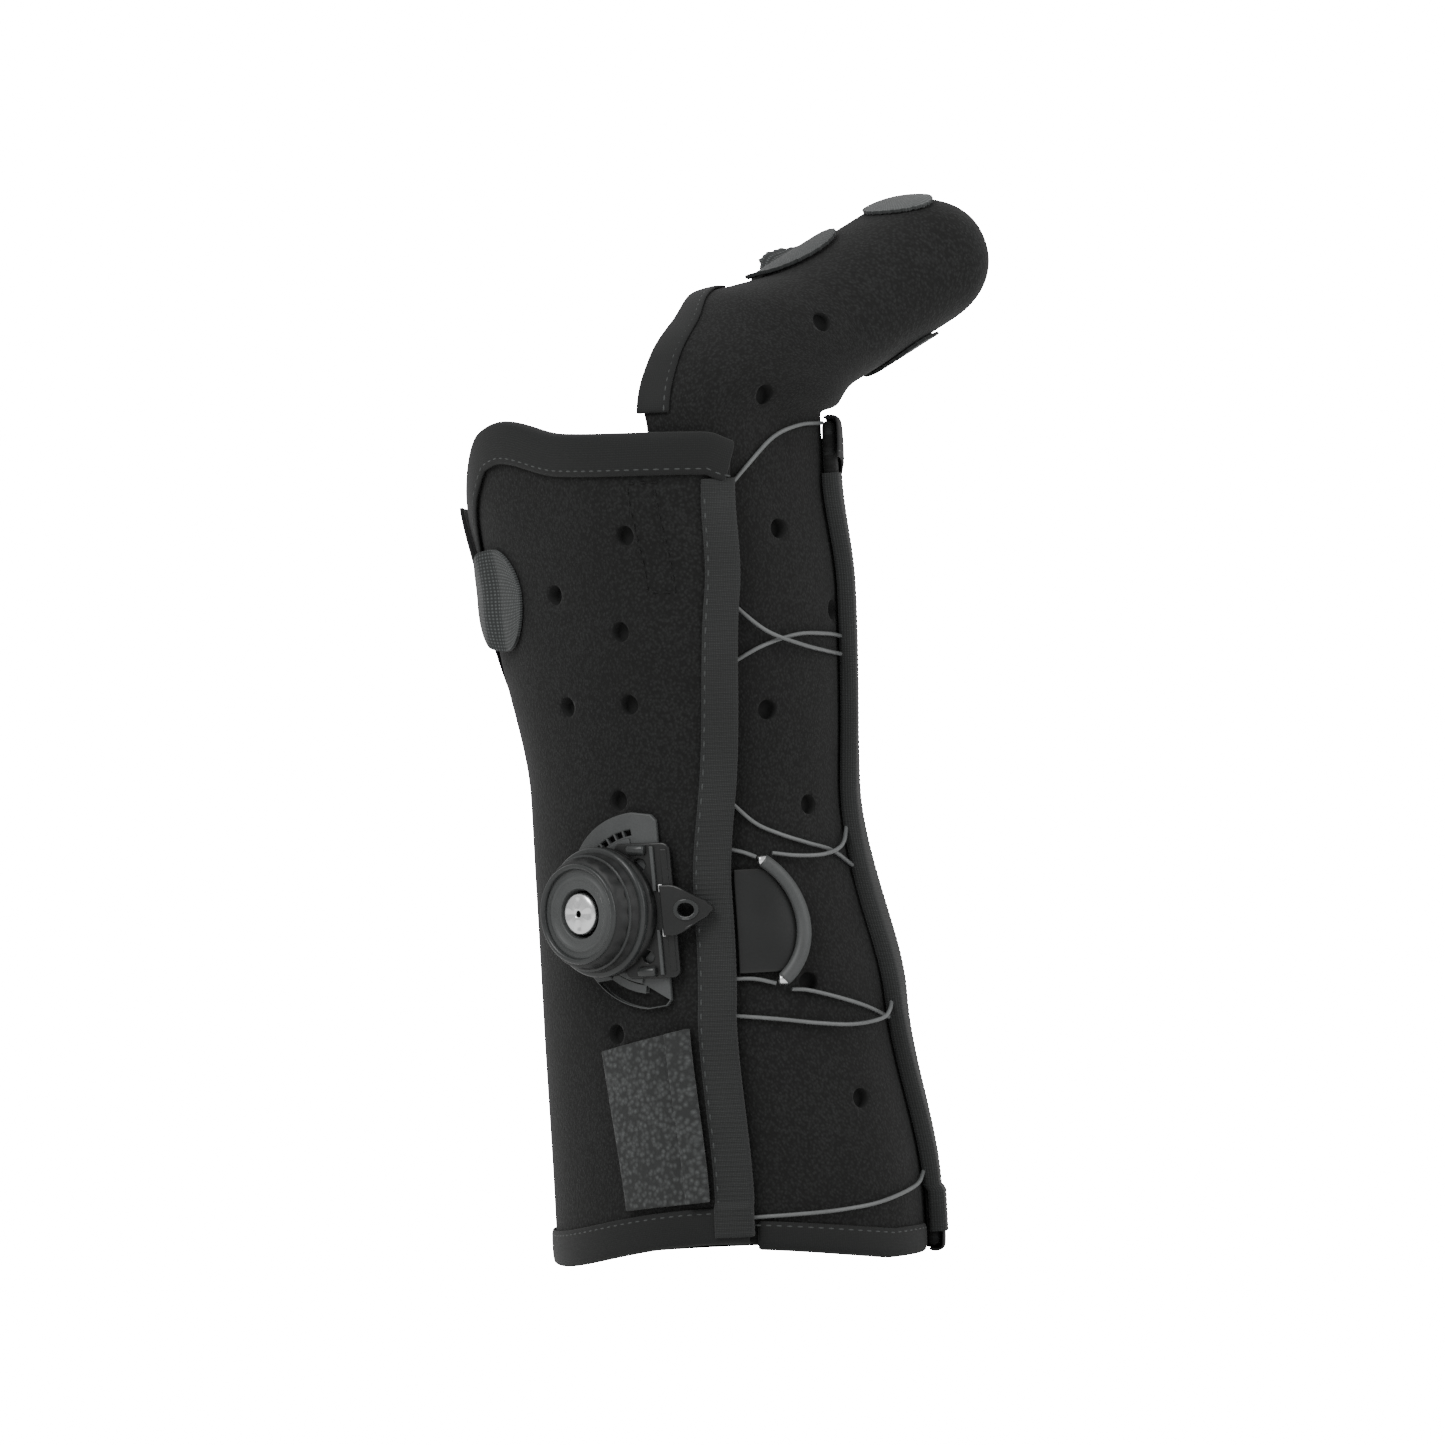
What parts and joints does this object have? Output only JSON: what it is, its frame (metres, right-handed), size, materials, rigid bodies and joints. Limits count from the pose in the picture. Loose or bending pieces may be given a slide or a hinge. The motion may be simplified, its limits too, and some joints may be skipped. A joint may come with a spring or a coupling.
{
  "type": "boxer fracture brace",
  "caption": "Padded wrist and ring-and-little-finger gutter splint, laced over the back of the hand and tightened by a turning dial.",
  "frame": {"origin": "on the surface that it stands on, under the middle of the whole brace", "axes": "+Z from the forearm towards the fingers, -Y towards the back of the hand, +X towards the little finger"},
  "size_m": [0.1018, 0.1244, 0.253],
  "materials": {
    "knit": "matt charcoal knit bonded to foam",
    "binding": "smooth matt stretch binding",
    "ribbon": "ribbed woven ribbon",
    "hook_fabric": "grey hook-and-loop fabric",
    "grey_plastic": "moulded mid-grey nylon",
    "black_plastic": "satin black moulding",
    "steel": "bright turned steel",
    "lace": "smooth grey coated cord"
  },
  "bodies": {
    "root": {"main_shell": "knit", "gutter_shell": "knit", "top_binding": "binding", "cuff_binding": "binding", "gutter_binding": "binding", "finger_binding": "binding", "dorsal_ribbon": "ribbon", "volar_ribbon": "ribbon", "dial_base": "grey_plastic", "dial_axle": "steel", "keeper_tab": "black_plastic", "lace_guide": "grey_plastic", "lace_1": "lace", "lace_2": "lace", "lace_3": "lace", "lace_4": "lace", "lace_5": "lace", "lace_6": "lace", "lace_7": "lace", "lace_8": "lace", "dial_lace_upper": "lace", "dial_lace_lower": "lace", "pull_tab": "hook_fabric", "web_strap": "binding", "web_hook_tab": "hook_fabric", "finger_hook_tab_1": "hook_fabric", "finger_hook_tab_2": "hook_fabric", "finger_hook_tab_3": "hook_fabric"},
    "knob": {"dial_knob": "black_plastic"}
  },
  "joints": [
    {"name": "dial_turn", "type": "hinge", "parent": "root", "child": "knob", "pos_m": [0.00751, -0.04873, 0.0857], "axis": [0.1239, -0.9923, 0], "continuous": true}
  ]
}
